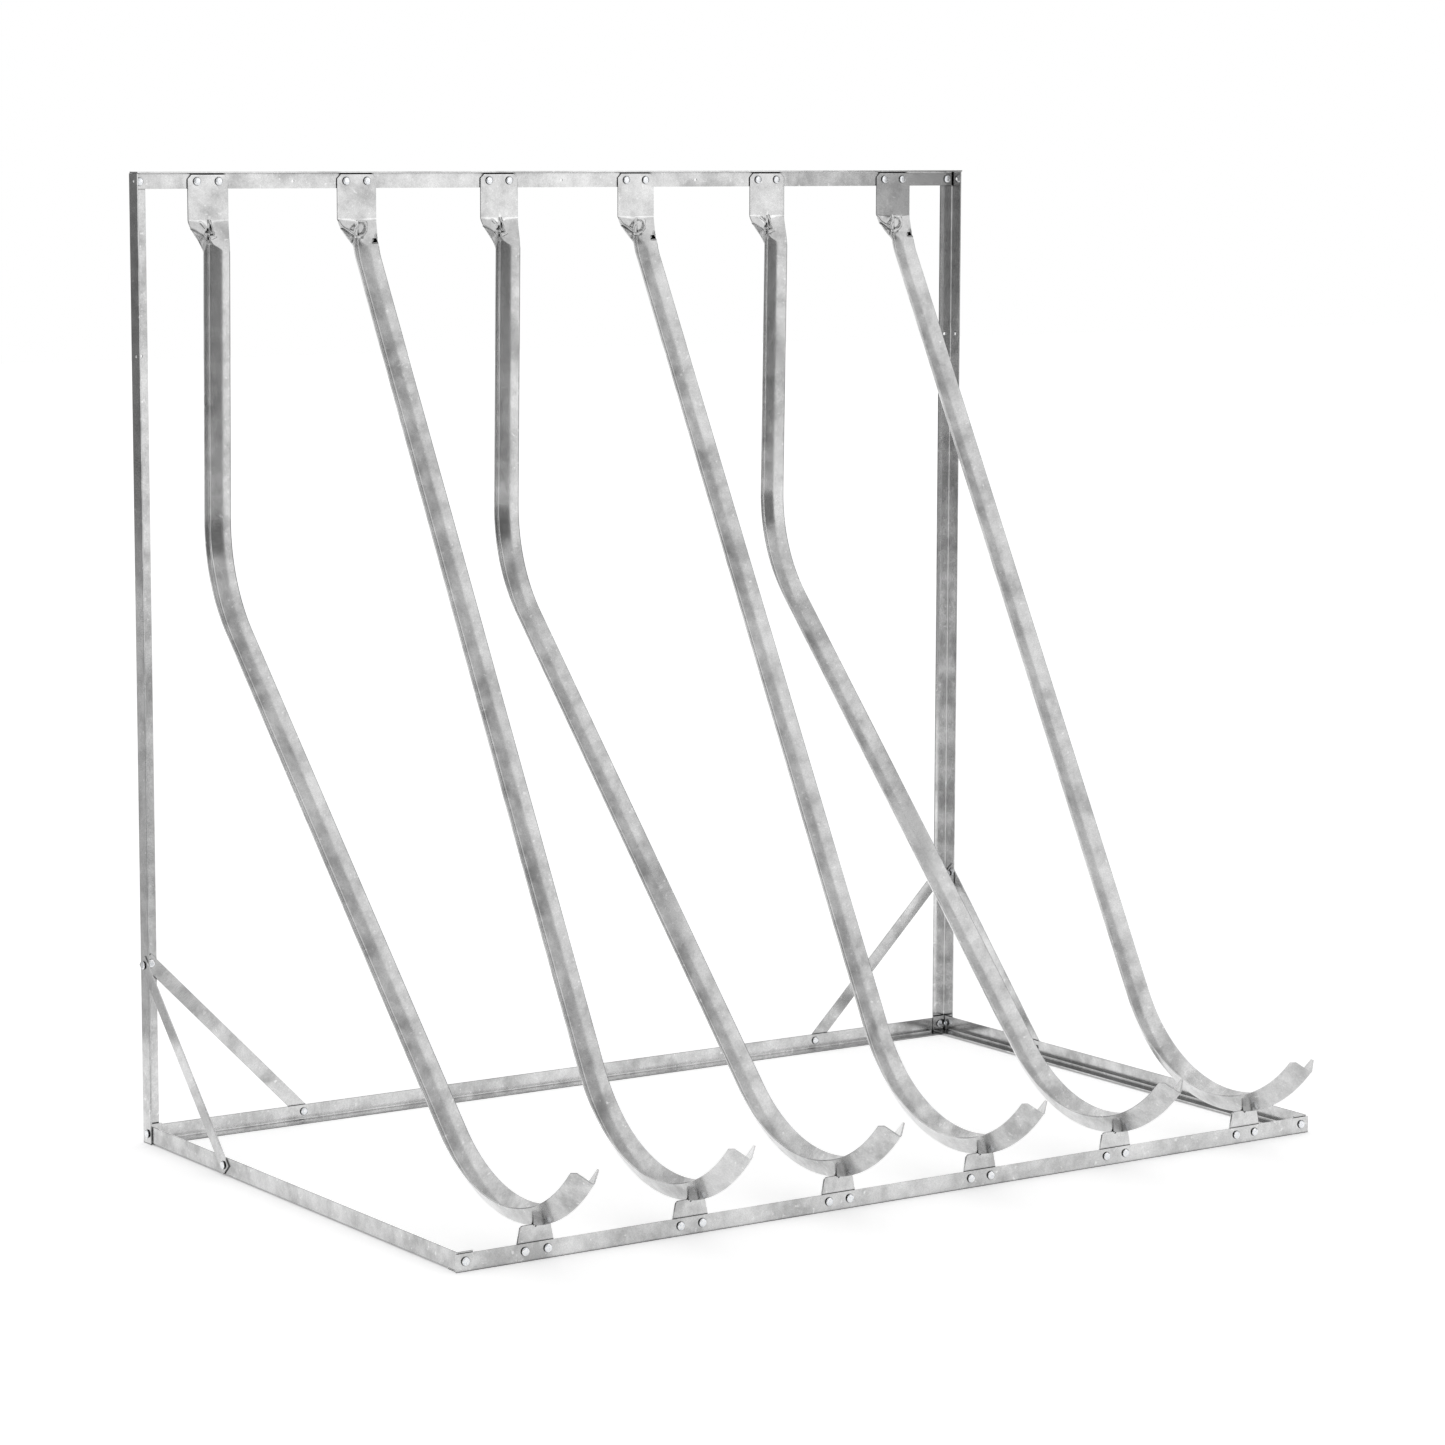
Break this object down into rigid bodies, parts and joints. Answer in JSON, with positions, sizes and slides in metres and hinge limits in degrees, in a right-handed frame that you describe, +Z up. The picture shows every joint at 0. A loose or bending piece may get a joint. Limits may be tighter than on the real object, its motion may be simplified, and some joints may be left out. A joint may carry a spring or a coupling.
{
  "type": "bike parking rack",
  "caption": "Free-standing bike rack of bolted angle steel, with sloping vee channels that end in hooks for the wheels, alternately cranked and straight.",
  "frame": {"origin": "middle of the footprint, on the floor", "axes": "+Z up, +X along the row of places to the viewer's right, -Y to the front, where the hooks are"},
  "size_m": [2.1146, 1.4874, 2.018],
  "materials": {
    "galvanised": "hot-dip galvanised steel, matt and cloudy",
    "plated": "bright zinc-plated steel bolts and nuts"
  },
  "bodies": {
    "root": {"post_left": "galvanised", "rail_side_left": "galvanised", "brace_rear_left": "galvanised", "brace_side_left": "galvanised", "post_right": "galvanised", "rail_side_right": "galvanised", "brace_rear_right": "galvanised", "brace_side_right": "galvanised", "rail_top": "galvanised", "rail_rear": "galvanised", "rail_front": "galvanised", "channel_1": "galvanised", "channel_2": "galvanised", "channel_3": "galvanised", "channel_4": "galvanised", "channel_5": "galvanised", "channel_6": "galvanised", "bolt_top_corner_left": "plated", "bolt_rear_corner_left": "plated", "bolt_side_corner_left": "plated", "bolt_front_corner_left": "plated", "bolt_rear_brace_top_left": "plated", "bolt_rear_brace_low_left": "plated", "bolt_side_brace_top_left": "plated", "bolt_side_brace_low_left": "plated", "bolt_top_corner_right": "plated", "bolt_rear_corner_right": "plated", "bolt_side_corner_right": "plated", "bolt_front_corner_right": "plated", "bolt_rear_brace_top_right": "plated", "bolt_rear_brace_low_right": "plated", "bolt_side_brace_top_right": "plated", "bolt_side_brace_low_right": "plated", "bolt_plate_1_left": "plated", "bolt_foot_1_left": "plated", "bolt_plate_1_right": "plated", "bolt_foot_1_right": "plated", "bolt_plate_2_left": "plated", "bolt_foot_2_left": "plated", "bolt_plate_2_right": "plated", "bolt_foot_2_right": "plated", "bolt_plate_3_left": "plated", "bolt_foot_3_left": "plated", "bolt_plate_3_right": "plated", "bolt_foot_3_right": "plated", "bolt_plate_4_left": "plated", "bolt_foot_4_left": "plated", "bolt_plate_4_right": "plated", "bolt_foot_4_right": "plated", "bolt_plate_5_left": "plated", "bolt_foot_5_left": "plated", "bolt_plate_5_right": "plated", "bolt_foot_5_right": "plated", "bolt_plate_6_left": "plated", "bolt_foot_6_left": "plated", "bolt_plate_6_right": "plated", "bolt_foot_6_right": "plated"}
  },
  "joints": []
}
